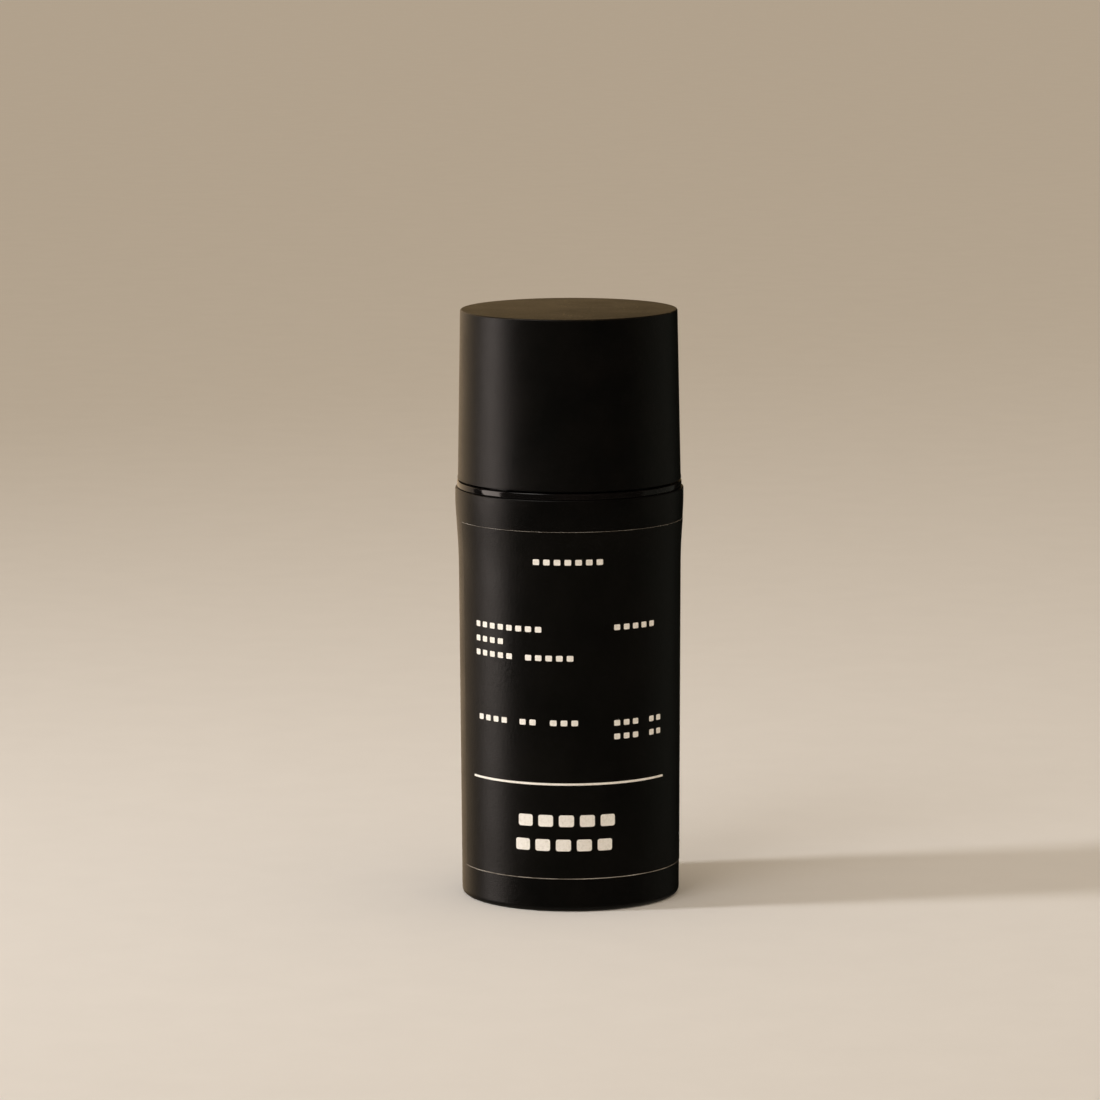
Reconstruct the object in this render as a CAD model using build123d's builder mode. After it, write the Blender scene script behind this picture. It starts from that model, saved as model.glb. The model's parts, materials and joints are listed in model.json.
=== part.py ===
from build123d import *
import os
from math import cos, hypot, radians, sin, sqrt

os.makedirs("parts", exist_ok=True)

# An airless pump bottle for shaving cream, standing on its foot.
# Origin at the centre of the foot, +Z up, front towards -Y. Millimetres.

# main sizes
overall_height = 135.0
bottle_top = 94.3
body_radius = 25.0
body_wall = 1.4
rim_swell = 1.12  # how far the rim stands out past the body radius
body_draft = 0.0051  # radius gained for each millimetre of height
foot_round = 1.2
edge_round = 0.3
mouth_depth = 10.3  # from the rim down to the step that the pump sits on

# shoulder that swells out to the rim
flare_below_step = 10.0
flare_below_rim = 2.2
flare_bulge = 0.66  # how far it has swelled at the height of the step

# collar
flange_height = 1.5
flange_inset = 0.44  # from the rim of the bottle
seat_height = 8.2
seat_inset = 1.5  # from the body radius
collar_wall = 1.4
guide_wall = 1.2

# chamber and stem of the pump
chamber_radius = 7.5
chamber_wall = 1.2
stem_radius = 3.95
stroke = 5.5
lost_motion = 0.9  # stem travel before the dosing piston follows
piston_height = 6.0
head_height = 2.0  # head of the stem pin, under the piston
ball_radius = 2.2
ball_lift = 1.2
wire_diameter = 0.9
spring_length = 15.3
spring_turns = 7

# cap and actuator
cap_wall = 1.5
cap_draft = 0.0182
cap_round = 0.4
cap_overhang = 0.49  # cap foot past the body radius
actuator_radius = 15.0
actuator_wall = 1.4

# clearances
running_gap = 0.05  # sealing lips and guided stems
turning_gap = 0.4  # plain skirts that slide past each other
seat_gap = 0.05  # faces that meet at rest
push_gap = 0.05  # parts pushed into the mouth
travel_spare = 0.2  # room left at the end of a travel
skin_gap = 0.01  # glue line under the label
fill_gap = 0.2  # cream to the parts around it
core_gap = 0.3  # cream core to the pump and to the follower's well

# radii that follow from the main sizes
bore_radius = body_radius - body_wall
mouth_radius = body_radius - 0.1
plug_radius = mouth_radius - push_gap
rim_radius = body_radius + rim_swell
flange_radius = rim_radius - flange_inset
seat_radius = body_radius - seat_inset
cap_foot_radius = body_radius + cap_overhang
foot_inner_radius = bore_radius - 1.0

# heights that follow from the main sizes
mouth_floor = bottle_top - mouth_depth
flange_top = bottle_top + flange_height
seat_top = flange_top + seat_height
cap_bottom = flange_top + turning_gap
cap_height = overall_height - cap_bottom
cap_ceiling = overall_height - cap_wall
cap_top_radius = cap_foot_radius - cap_draft * cap_height
cap_inner_foot = cap_foot_radius - cap_wall
cap_inner_top = cap_top_radius - cap_wall
flare_start = mouth_floor - flare_below_step
flare_end = bottle_top - flare_below_rim
flare_radius = body_radius + body_draft * (flare_start - foot_round)

# levels inside the pump, from the mouth of the bottle down
gasket_thickness = 0.8
wiper_thickness = 1.4
plate_thickness = 2.2
boss_height = 3.7
closure_lid = 1.2
deck_bottom = mouth_floor + gasket_thickness
deck_top = deck_bottom + plate_thickness
boss_top = deck_bottom + boss_height
housing_top = boss_top + 1.5
closure_top = housing_top + closure_lid
wiper_bottom = housing_top - wiper_thickness
piston_top = wiper_bottom - lost_motion - travel_spare
head_top = piston_top - piston_height
head_bottom = head_top - head_height
floor_top = head_bottom - stroke - 2 * travel_spare


# outer line of the shoulder, pushed out by the given offset
def flare_curve(offset):
    return Spline(
        (flare_radius + offset, flare_start),
        (body_radius + flare_bulge + offset, mouth_floor),
        (rim_radius + offset, flare_end),
        tangents=[(body_draft, 1), (0.01, 1)],
    )


# ---- bottle body: open tube with a flared mouth and a turned-in foot
ledge_height = 2.0
with BuildPart() as bottle_body:
    with BuildSketch(Plane.XZ):
        with BuildLine():
            Polyline((foot_inner_radius, 0), (body_radius, 0), (flare_radius, flare_start))
            flare_curve(0)
            Polyline(
                (rim_radius, flare_end),
                (rim_radius, bottle_top),
                (mouth_radius, bottle_top),
                (mouth_radius, mouth_floor),
                (bore_radius, mouth_floor),
                (bore_radius, ledge_height),
                (foot_inner_radius, ledge_height),
                (foot_inner_radius, 0),
            )
        make_face()
    revolve(axis=Axis.Z)
    outer_foot = bottle_body.edges().group_by(Axis.Z)[0].sort_by(SortBy.RADIUS)[-1]
    fillet(outer_foot, foot_round)
    rim_edges = bottle_body.edges().group_by(Axis.Z)[-1]
    fillet(rim_edges, edge_round)
bottle_body.part.label = "bottle_body"
export_step(bottle_body.part, "parts/bottle_body.step")

# ---- label: a thin skin wrapped round the body, leaving a bare strip
label_thickness = 0.08
label_bottom = 7.6
label_top = mouth_floor + 3.2
label_reach = 2 * rim_radius  # well outside the film, for trimming its top edge
label_start = radians(-161)
label_span = 334.0
label_inner = body_radius + body_draft * (label_bottom - foot_round) + skin_gap
start_plane = Plane(
    origin=(0, 0, 0),
    x_dir=(cos(label_start), sin(label_start), 0),
    z_dir=(sin(label_start), -cos(label_start), 0),
)
with BuildPart() as label:
    with BuildSketch(start_plane):
        with BuildLine():
            Line((label_inner, label_bottom), (flare_radius + skin_gap, flare_start))
            inner_skin = flare_curve(skin_gap)
            outer_skin = flare_curve(skin_gap + label_thickness)
            Line(inner_skin @ 1, outer_skin @ 1)
            Polyline(
                outer_skin @ 0,
                (label_inner + label_thickness, label_bottom),
                (label_inner, label_bottom),
            )
        make_face()
    revolve(axis=Axis.Z, revolution_arc=label_span)
    with Locations((0, 0, label_top)):
        Cylinder(
            label_reach,
            bottle_top,
            align=(Align.CENTER, Align.CENTER, Align.MIN),
            mode=Mode.SUBTRACT,
        )
label.part.label = "label"
export_step(label.part, "parts/label.step")

# ---- base plate: dropped in from the mouth onto the foot ledge, with a vent hole
plate_top = ledge_height + 1.8
plate_gap = 0.15
spigot_radius = foot_inner_radius - 0.2
spigot_wall = 1.6
spigot_depth = 1.2
rib_radius = foot_inner_radius * 0.45
rib_width = 1.0
rib_depth = 0.8
vent_radius = 0.75
with BuildPart() as base_plate:
    with BuildSketch(Plane.XY.offset(ledge_height)):
        Circle(bore_radius - plate_gap)
    extrude(amount=plate_top - ledge_height)
    with BuildSketch(Plane.XY.offset(ledge_height)):
        Circle(spigot_radius)
        Circle(spigot_radius - spigot_wall, mode=Mode.SUBTRACT)
    extrude(amount=-spigot_depth)
    with BuildSketch(Plane.XY.offset(ledge_height)):
        Circle(rib_radius)
        Circle(rib_radius - rib_width, mode=Mode.SUBTRACT)
    extrude(amount=-rib_depth)
    with Locations((foot_inner_radius * 0.6, 0, plate_top)):
        Cylinder(vent_radius, 2 * plate_top, mode=Mode.SUBTRACT)
base_plate.part.label = "base_plate"
export_step(base_plate.part, "parts/base_plate.step")

# ---- mouth gasket: flat ring on the step inside the mouth
gasket_outer = mouth_radius - 0.1
gasket_inner = bore_radius - 0.6
with BuildPart() as mouth_gasket:
    with BuildSketch(Plane.XY.offset(mouth_floor)):
        Circle(gasket_outer)
        Circle(gasket_inner, mode=Mode.SUBTRACT)
    extrude(amount=gasket_thickness)
mouth_gasket.part.label = "mouth_gasket"
export_step(mouth_gasket.part, "parts/mouth_gasket.step")

# ---- pump plate: closes the mouth and carries the pump in a raised boss
boss_radius = chamber_radius + 4.0
chamber_outer = chamber_radius + chamber_wall
plate_bore = chamber_outer + 0.1
trough_depth = 0.6
trough_outer = bore_radius - 1.0
trough_inner = boss_radius + 1.4
trough_slope = 0.6
with BuildPart() as pump_plate:
    with BuildSketch(Plane.XZ):
        with BuildLine():
            Polyline(
                (plate_bore, deck_bottom),
                (plug_radius, deck_bottom),
                (plug_radius, deck_top),
                (trough_outer, deck_top),
                (trough_outer - trough_slope, deck_top - trough_depth),
                (trough_inner + trough_slope, deck_top - trough_depth),
                (trough_inner, deck_top),
                (boss_radius, deck_top),
                (boss_radius, boss_top),
                (plate_bore, boss_top),
                close=True,
            )
        make_face()
    revolve(axis=Axis.Z)
pump_plate.part.label = "pump_plate"
export_step(pump_plate.part, "parts/pump_plate.step")

# ---- pump housing: the chamber, its floor and the inlet tube with the ball seat
floor_bottom = floor_top - 2.0
seat_throat = 1.6
cage_radius = ball_radius + 0.6
inlet_radius = cage_radius + 1.4
chamber_bevel = 1.2
retainer_thickness = 0.9
retainer_radius = cage_radius + 0.8
retainer_bottom = floor_top - retainer_thickness
ball_centre = retainer_bottom - travel_spare - ball_lift - ball_radius
cone_tip = ball_centre - (ball_radius + seat_gap) * sqrt(2)
throat_top = cone_tip + seat_throat
cage_floor = cone_tip + cage_radius
inlet_bottom = throat_top - 2.4
with BuildPart() as pump_housing:
    with BuildSketch(Plane.XZ):
        with BuildLine():
            Polyline(
                (seat_throat, inlet_bottom),
                (inlet_radius, inlet_bottom),
                (inlet_radius, floor_bottom),
                (chamber_outer - chamber_bevel, floor_bottom),
                (chamber_outer, floor_bottom + chamber_bevel),
                (chamber_outer, boss_top),
                (boss_radius, boss_top),
                (boss_radius, housing_top),
                (chamber_radius, housing_top),
                (chamber_radius, floor_top),
                (retainer_radius, floor_top),
                (retainer_radius, retainer_bottom),
                (cage_radius, retainer_bottom),
                (cage_radius, cage_floor),
                (seat_throat, throat_top),
                close=True,
            )
        make_face()
    revolve(axis=Axis.Z)
pump_housing.part.label = "pump_housing"
export_step(pump_housing.part, "parts/pump_housing.step")

# ---- inlet ball: rests on the 45 degree seat at the foot of the inlet tube
with BuildPart() as inlet_ball:
    with Locations((0, 0, ball_centre)):
        Sphere(ball_radius)
inlet_ball.part.label = "inlet_ball"
export_step(inlet_ball.part, "parts/inlet_ball.step")

# ---- ball retainer: small pierced disc let into the chamber floor
flow_hole_radius = 0.65
flow_hole_circle = retainer_radius * 0.52
with BuildPart() as ball_retainer:
    with BuildSketch(Plane.XY.offset(retainer_bottom)):
        Circle(retainer_radius)
        with PolarLocations(flow_hole_circle, 4):
            Circle(flow_hole_radius, mode=Mode.SUBTRACT)
    extrude(amount=retainer_thickness)
ball_retainer.part.label = "ball_retainer"
export_step(ball_retainer.part, "parts/ball_retainer.step")

# ---- stem wiper: soft washer round the stem at the top of the chamber
guide_radius = stem_radius + running_gap
with BuildPart() as stem_wiper:
    with BuildSketch(Plane.XY.offset(wiper_bottom)):
        Circle(chamber_radius - push_gap)
        Circle(guide_radius, mode=Mode.SUBTRACT)
    extrude(amount=wiper_thickness)
stem_wiper.part.label = "stem_wiper"
export_step(stem_wiper.part, "parts/stem_wiper.step")

# ---- chamber cap: snaps over the boss, guides the stem and carries the spring
closure_bore = boss_radius + 0.1
closure_radius = boss_radius + 1.3
closure_bevel = 0.5
collet_wall = 0.8
collet_top = closure_top + 1.4
with BuildPart() as chamber_cap:
    with BuildSketch(Plane.XZ):
        with BuildLine():
            Polyline(
                (guide_radius, housing_top),
                (closure_bore, housing_top),
                (closure_bore, deck_top),
                (closure_radius, deck_top),
                (closure_radius, closure_top - closure_bevel),
                (closure_radius - closure_bevel, closure_top),
                (guide_radius + collet_wall, closure_top),
                (guide_radius + collet_wall, collet_top),
                (guide_radius, collet_top),
                close=True,
            )
        make_face()
    revolve(axis=Axis.Z)
chamber_cap.part.label = "chamber_cap"
export_step(chamber_cap.part, "parts/chamber_cap.step")

# ---- stem: hollow rod with a spring flange, and a thin neck with side ports
neck_radius = 2.6
neck_bore = 1.4
stem_bore = 1.8
sleeve_length = 3.0
shoulder = head_top + sleeve_length + lost_motion + 2 * seat_gap
spring_top = closure_top + spring_length
stem_flange_radius = stem_radius + 2.7
stem_flange_top = spring_top + 1.2
stem_top = stem_flange_top + 4.3
port_radius = 0.6
port_height = head_top + 2.1
with BuildPart() as stem:
    with BuildSketch(Plane.XZ):
        with BuildLine():
            Polyline(
                (neck_bore, head_top),
                (neck_radius, head_top),
                (neck_radius, shoulder),
                (stem_radius, shoulder),
                (stem_radius, spring_top),
                (stem_flange_radius, spring_top),
                (stem_flange_radius, stem_flange_top),
                (stem_radius, stem_flange_top),
                (stem_radius, stem_top),
                (stem_bore, stem_top),
                (stem_bore, shoulder),
                (neck_bore, shoulder),
                close=True,
            )
        make_face()
    revolve(axis=Axis.Z)
    with Locations((0, 0, port_height)):
        Cylinder(port_radius, 4 * neck_radius, rotation=(90, 0, 0), mode=Mode.SUBTRACT)
stem.part.label = "stem"
export_step(stem.part, "parts/stem.step")

# ---- stem pin: plug with a broad head that the dosing piston seats on
head_radius = 4.4
head_rim = 0.7
head_taper = 1.4
plug_top = head_top + 1.0
with BuildPart() as stem_pin:
    with BuildSketch(Plane.XZ):
        with BuildLine():
            Polyline(
                (0, head_bottom),
                (head_radius - head_taper, head_bottom),
                (head_radius, head_top - head_rim),
                (head_radius, head_top),
                (neck_bore, head_top),
                (neck_bore, plug_top),
                (0, plug_top),
                close=True,
            )
        make_face()
    revolve(axis=Axis.Z)
stem_pin.part.label = "stem_pin"
export_step(stem_pin.part, "parts/stem_pin.step")

# ---- dosing piston: two thin lips on a skirt, with a sleeve round the stem neck
lip_radius = chamber_radius - running_gap
lip_band = 0.7
lip_height = 1.5
skirt_radius = lip_radius - 0.5
lip_inner = lip_radius - 0.6
skirt_inner = lip_radius - 1.2
sleeve_radius = head_radius - 0.1
sleeve_bore = neck_radius + 0.3
sleeve_bottom = head_top + seat_gap
sleeve_top = sleeve_bottom + sleeve_length
web_low = sleeve_top - 1.4
web_high = sleeve_top - 0.4
piston_bottom = head_top + 0.6
with BuildPart() as dosing_piston:
    with BuildSketch(Plane.XZ):
        with BuildLine():
            Polyline(
                (sleeve_bore, sleeve_bottom),
                (sleeve_radius, sleeve_bottom),
                (sleeve_radius, web_low),
                (skirt_inner, web_low),
                (lip_inner, piston_bottom),
                (lip_radius, piston_bottom),
                (lip_radius, piston_bottom + lip_band),
                (skirt_radius, piston_bottom + lip_height),
                (skirt_radius, piston_top - lip_height),
                (lip_radius, piston_top - lip_band),
                (lip_radius, piston_top),
                (lip_inner, piston_top),
                (skirt_inner, web_high),
                (sleeve_radius, web_high),
                (sleeve_radius, sleeve_top),
                (sleeve_bore, sleeve_top),
                close=True,
            )
        make_face()
    revolve(axis=Axis.Z)
dosing_piston.part.label = "dosing_piston"
export_step(dosing_piston.part, "parts/dosing_piston.step")

# ---- return spring: round wire with ground ends, between chamber cap and stem flange
coil_radius = stem_radius + 1.65
coil_sink = 0.2  # wire centre above each ground end
coil_height = spring_length - 2 * coil_sink
with BuildPart() as return_spring:
    with BuildLine(Plane.XY.offset(closure_top + coil_sink)) as coil_path:
        coil = Helix(coil_height / spring_turns, coil_height, coil_radius)
    with BuildSketch(Plane(coil @ 0, z_dir=coil % 0)):
        Circle(wire_diameter / 2)
    sweep(path=coil_path.wires()[0], is_frenet=True)
    with Locations((0, 0, closure_top)):
        Cylinder(
            coil_radius + wire_diameter,
            spring_length,
            align=(Align.CENTER, Align.CENTER, Align.MIN),
            mode=Mode.INTERSECT,
        )
return_spring.part.label = "return_spring"
export_step(return_spring.part, "parts/return_spring.step")

# ---- collar: glossy ring on the rim, plug inside the mouth, seat and deck for the cap
guide_bore = actuator_radius + turning_gap
guide_outer = guide_bore + guide_wall
guide_foot = bottle_top + 2.7
seat_inner = seat_radius - collar_wall
deck_underside = seat_top - 1.2
seat_bevel = 0.5
with BuildPart() as collar:
    with BuildSketch(Plane.XZ):
        with BuildLine():
            Polyline(
                (seat_inner, bottle_top),
                (bore_radius, bottle_top),
                (bore_radius, deck_top),
                (plug_radius, deck_top),
                (plug_radius, bottle_top),
                (flange_radius, bottle_top),
                (flange_radius, flange_top),
                (seat_radius, flange_top),
                (seat_radius, seat_top - seat_bevel),
                (seat_radius - seat_bevel, seat_top),
                (guide_bore, seat_top),
                (guide_bore, guide_foot),
                (guide_outer, guide_foot),
                (guide_outer, deck_underside),
                (seat_inner, deck_underside),
                close=True,
            )
        make_face()
    revolve(axis=Axis.Z)
    ring_edges = collar.edges().filter_by(GeomType.CIRCLE).sort_by(SortBy.RADIUS)[-2:]
    fillet(ring_edges, edge_round)
    mouth_edge = collar.edges().group_by(Axis.Z)[-1].sort_by(SortBy.RADIUS)[0]
    fillet(mouth_edge, edge_round)
collar.part.label = "collar"
export_step(collar.part, "parts/collar.step")

# ---- actuator: dished button with a hollow post on the stem and a short spout
actuator_top = cap_ceiling - 2.5
actuator_bottom = flange_top + 2.2
actuator_round = 1.0
dish_depth = 1.5
dish_edge = actuator_radius - 1.6
dish_radius = (dish_edge**2 + dish_depth**2) / (2 * dish_depth)
roof_thickness = 2.0
roof_bottom = actuator_top - dish_depth - roof_thickness
weld = 0.5  # how far added walls run into the roof
post_radius = stem_radius + 2.25
post_bottom = stem_flange_top + seat_gap
spout_height = roof_bottom - 3.5
spout_width = 9.0
spout_depth = 8.4
spout_round = 2.4
spout_edge_round = 0.6
spout_blend = 1.2  # fillet where the spout leaves the barrel
spout_root = actuator_radius - 2.0
spout_reach = cap_inner_top - 2.1
channel_radius = 1.8
channel_wall = 1.2
channel_box = 2 * (channel_radius + channel_wall)
nozzle_radius = 2.8
nozzle_depth = 6.0
nozzle_seat = spout_reach - nozzle_depth
web_thickness = 1.1
web_reach = actuator_radius - actuator_wall - post_radius + 2 * weld
web_centre = (actuator_radius - actuator_wall + post_radius) / 2
web_bottom = spout_height - channel_radius - channel_wall


# true for a point on the outside of the button's barrel
def on_barrel(point):
    return abs(hypot(point.X, point.Y) - actuator_radius) < skin_gap


with BuildPart() as actuator:
    with BuildSketch(Plane.XY.offset(actuator_bottom)):
        Circle(actuator_radius)
    extrude(amount=actuator_top - actuator_bottom)
    fillet(actuator.edges().group_by(Axis.Z)[-1], actuator_round)
    with Locations((0, 0, actuator_top - dish_depth + dish_radius)):
        Sphere(dish_radius, mode=Mode.SUBTRACT)
    with BuildSketch(Plane.XY.offset(actuator_bottom)):
        Circle(actuator_radius - actuator_wall)
    extrude(amount=roof_bottom - actuator_bottom, mode=Mode.SUBTRACT)
    with BuildSketch(Plane.XZ.offset(spout_root)):
        with Locations((0, spout_height)):
            RectangleRounded(spout_width, spout_depth, spout_round)
    extrude(amount=spout_reach - spout_root)
    fillet(actuator.edges().group_by(Axis.Y)[0], spout_edge_round)
    spout_edges = actuator.edges().filter_by_position(
        Axis.Z, spout_height - spout_depth / 2 - seat_gap, spout_height + spout_depth / 2 + seat_gap
    )
    joint_edges = spout_edges.filter_by(lambda edge: on_barrel(edge @ 0.5))
    fillet(joint_edges, spout_blend)
    with BuildSketch(Plane.XY.offset(post_bottom)):
        Circle(post_radius)
    extrude(amount=roof_bottom + weld - post_bottom)
    with BuildSketch(Plane.XY.offset(web_bottom)):
        with PolarLocations(web_centre, 4, start_angle=45):
            Rectangle(web_reach, web_thickness)
    extrude(amount=roof_bottom + weld - web_bottom)
    with Locations((0, -(nozzle_seat + post_radius) / 2, spout_height)):
        Box(channel_box, nozzle_seat - post_radius + 4 * weld, channel_box)
    with Locations((0, 0, post_bottom)):
        Cylinder(
            stem_radius + running_gap,
            stem_top + seat_gap - post_bottom,
            align=(Align.CENTER, Align.CENTER, Align.MIN),
            mode=Mode.SUBTRACT,
        )
    with Locations((0, 0, post_bottom)):
        Cylinder(
            channel_radius,
            spout_height + channel_radius - post_bottom,
            align=(Align.CENTER, Align.CENTER, Align.MIN),
            mode=Mode.SUBTRACT,
        )
    with BuildSketch(Plane.XZ):
        with Locations((0, spout_height)):
            Circle(channel_radius)
    extrude(amount=nozzle_seat, mode=Mode.SUBTRACT)
    with BuildSketch(Plane.XZ.offset(nozzle_seat)):
        with Locations((0, spout_height)):
            Circle(nozzle_radius)
    extrude(amount=2 * nozzle_depth, mode=Mode.SUBTRACT)
actuator.part.label = "actuator"
export_step(actuator.part, "parts/actuator.step")

# ---- nozzle insert: flared bush in the mouth of the spout
bush_radius = nozzle_radius - 0.03
bush_bore = 1.2
bush_length = nozzle_depth + 0.3
bush_flare = 0.7
bush_round = 0.2
with BuildPart() as nozzle_insert:
    with BuildSketch(Plane.XZ.offset(nozzle_seat + seat_gap)):
        with Locations((0, spout_height)):
            Circle(bush_radius)
            Circle(bush_bore, mode=Mode.SUBTRACT)
    extrude(amount=bush_length)
    bore_ring = nozzle_insert.edges().group_by(Axis.Y)[0].sort_by(SortBy.RADIUS)[0]
    chamfer(bore_ring, bush_flare)
    outer_ring = nozzle_insert.edges().group_by(Axis.Y)[0].sort_by(SortBy.RADIUS)[-1]
    fillet(outer_ring, bush_round)
nozzle_insert.part.label = "nozzle_insert"
export_step(nozzle_insert.part, "parts/nozzle_insert.step")

# ---- follower piston: two sealing lips and a deep well that nests round the pump
well_radius = chamber_outer + 0.7
well_wall = 1.2
well_outer = well_radius + well_wall
well_bevel = 1.0
well_foot = plate_top + 0.5
well_floor = well_foot + well_wall
well_depth = mouth_floor - inlet_bottom + travel_spare
follower_top = well_floor + well_depth
follower_lip = bore_radius - running_gap
wipe_height = 1.2
wipe_taper = 1.2
band_radius = follower_lip - 0.6
band_inner = band_radius - 1.3
band_bottom = follower_top - 12.0
web_top = follower_top - 1.3
web_bottom_face = web_top - well_wall
with BuildPart() as follower_piston:
    with BuildSketch(Plane.XZ):
        with BuildLine():
            Polyline(
                (0, well_foot),
                (well_outer - well_bevel, well_foot),
                (well_outer, well_foot + well_bevel),
                (well_outer, web_bottom_face),
                (band_inner, web_bottom_face),
                (band_inner, band_bottom),
                (follower_lip, band_bottom),
                (follower_lip, band_bottom + wipe_height),
                (band_radius, band_bottom + wipe_height + wipe_taper),
                (band_radius, follower_top - wipe_height - wipe_taper),
                (follower_lip, follower_top - wipe_height),
                (follower_lip, follower_top),
                (follower_lip - 0.9, follower_top),
                (band_inner, web_top),
                (well_radius, web_top),
                (well_radius, well_floor),
                (0, well_floor),
                close=True,
            )
        make_face()
    revolve(axis=Axis.Z)
follower_piston.part.label = "follower_piston"
export_step(follower_piston.part, "parts/follower_piston.step")

# ---- cream: a ring round the pump and a core that reaches into the follower's well
core_radius = well_radius - core_gap
cream_floor = follower_top + fill_gap
cream_ceiling = mouth_floor - fill_gap
with BuildPart() as cream_ring:
    with BuildSketch(Plane.XY.offset(cream_floor)):
        Circle(bore_radius - fill_gap)
        Circle(core_radius, mode=Mode.SUBTRACT)
    extrude(amount=cream_ceiling - cream_floor)
cream_ring.part.label = "cream_ring"
export_step(cream_ring.part, "parts/cream_ring.step")

core_floor = well_floor + core_gap
core_ceiling = inlet_bottom - core_gap
with BuildPart() as cream_core:
    with BuildSketch(Plane.XY.offset(core_floor)):
        Circle(core_radius)
    extrude(amount=core_ceiling - core_floor)
cream_core.part.label = "cream_core"
export_step(cream_core.part, "parts/cream_core.step")

# ---- overcap: drafted cup that lifts off, with ribs inside that stop on the collar
lip_step = 0.1
lip_low = cap_bottom + lip_step
lip_high = cap_bottom + 0.5
lip_end = cap_bottom + 0.7
rib_inner = seat_radius - 1.2
rib_outer = cap_top_radius - 0.6
rib_thickness = 1.2
rib_bottom = seat_top + seat_gap
rib_count = 8
with BuildPart() as overcap:
    with BuildSketch(Plane.XZ):
        with BuildLine():
            Polyline(
                (0, overall_height),
                (cap_top_radius, overall_height),
                (cap_foot_radius, lip_end),
                (cap_foot_radius + lip_step, lip_high),
                (cap_foot_radius + lip_step, lip_low),
                (cap_foot_radius, cap_bottom),
                (cap_inner_foot, cap_bottom),
                (cap_inner_top, cap_ceiling),
                (0, cap_ceiling),
                close=True,
            )
        make_face()
    revolve(axis=Axis.Z)
    fillet(overcap.edges().group_by(Axis.Z)[-1], cap_round)
    with BuildSketch(Plane.XY.offset(rib_bottom)):
        with PolarLocations((rib_inner + rib_outer) / 2, rib_count, start_angle=22.5):
            Rectangle(rib_outer - rib_inner, rib_thickness)
    extrude(amount=cap_ceiling + weld - rib_bottom)
overcap.part.label = "overcap"
export_step(overcap.part, "parts/overcap.step")
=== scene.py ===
import json
from math import cos, hypot, pi, radians, sin

import bmesh
import bpy
from mathutils import Matrix, Vector

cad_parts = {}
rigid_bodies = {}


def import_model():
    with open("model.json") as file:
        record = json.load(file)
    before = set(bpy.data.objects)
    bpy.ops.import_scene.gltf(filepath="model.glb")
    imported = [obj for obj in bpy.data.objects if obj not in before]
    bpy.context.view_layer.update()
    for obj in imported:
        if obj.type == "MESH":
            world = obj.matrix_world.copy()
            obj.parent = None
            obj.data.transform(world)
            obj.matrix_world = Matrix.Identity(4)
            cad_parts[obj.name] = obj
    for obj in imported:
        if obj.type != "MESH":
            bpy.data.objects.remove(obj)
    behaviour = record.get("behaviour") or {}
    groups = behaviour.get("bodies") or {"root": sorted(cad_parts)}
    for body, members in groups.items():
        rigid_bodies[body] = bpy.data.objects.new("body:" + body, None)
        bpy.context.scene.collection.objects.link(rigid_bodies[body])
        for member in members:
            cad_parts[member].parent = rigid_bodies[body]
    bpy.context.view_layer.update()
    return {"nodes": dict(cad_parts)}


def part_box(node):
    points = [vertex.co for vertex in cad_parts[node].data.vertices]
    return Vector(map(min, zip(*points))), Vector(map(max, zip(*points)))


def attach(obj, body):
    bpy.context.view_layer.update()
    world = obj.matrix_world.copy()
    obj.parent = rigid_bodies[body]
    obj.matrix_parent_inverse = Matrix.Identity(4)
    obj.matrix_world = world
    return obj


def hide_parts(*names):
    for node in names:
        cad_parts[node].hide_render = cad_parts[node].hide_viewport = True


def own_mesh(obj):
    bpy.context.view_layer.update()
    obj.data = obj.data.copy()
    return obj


mm = 0.001

for leftover in list(bpy.data.objects):
    bpy.data.objects.remove(leftover)
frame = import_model()
nodes = frame["nodes"]
print("frame loaded:", len(nodes), "nodes")


# tools for turned and moulded pieces: outlines are (radius, height) in millimetres
mergeGap = 1e-7  # metres: corners closer than this become one
flatEdge = 1e-8
matchGap = 2e-6  # how near an edge lies to the circle it is looked up by
sharpAngle = 40  # degrees: flatter edges are shaded smooth


def wireFrom(bm, outline, closed=True):
    corners = [bm.verts.new((radius * mm, 0, height * mm)) for radius, height in outline]
    ends = list(zip(corners, corners[1:]))
    if closed:
        ends.append((corners[-1], corners[0]))
    return corners, [bm.edges.new(pair) for pair in ends]


def turnOutline(bm, outline, start=0.0, sweep=2 * pi, steps=240, closed=True):
    corners, edges = wireFrom(bm, outline, closed)
    bmesh.ops.rotate(bm, verts=corners, cent=(0, 0, 0), matrix=Matrix.Rotation(start, 3, "Z"))
    full = sweep > 2 * pi - 1e-6
    bmesh.ops.spin(
        bm, geom=corners + edges, cent=(0, 0, 0), axis=(0, 0, 1),
        angle=sweep, steps=steps, use_merge=full, use_duplicate=False,
    )
    if not full:  # both cut ends get a face
        bmesh.ops.holes_fill(bm, edges=[e for e in bm.edges if e.is_boundary], sides=0)
    tidyMesh(bm)


def tidyMesh(bm):
    bmesh.ops.remove_doubles(bm, verts=bm.verts, dist=mergeGap)
    bmesh.ops.dissolve_degenerate(bm, edges=bm.edges, dist=flatEdge)
    bmesh.ops.recalc_face_normals(bm, faces=bm.faces)


def roundRing(bm, radius, height, size, segments=4):  # rounds one circular edge of a turned piece
    ring = [
        e for e in bm.edges
        if all(
            abs(v.co.z - height * mm) < matchGap
            and abs(hypot(v.co.x, v.co.y) - radius * mm) < matchGap
            for v in e.verts
        )
    ]
    bmesh.ops.bevel(
        bm, geom=ring, offset=size * mm, offset_type="OFFSET", segments=segments,
        profile=0.5, affect="EDGES", material=-1, clamp_overlap=True,
    )


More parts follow.
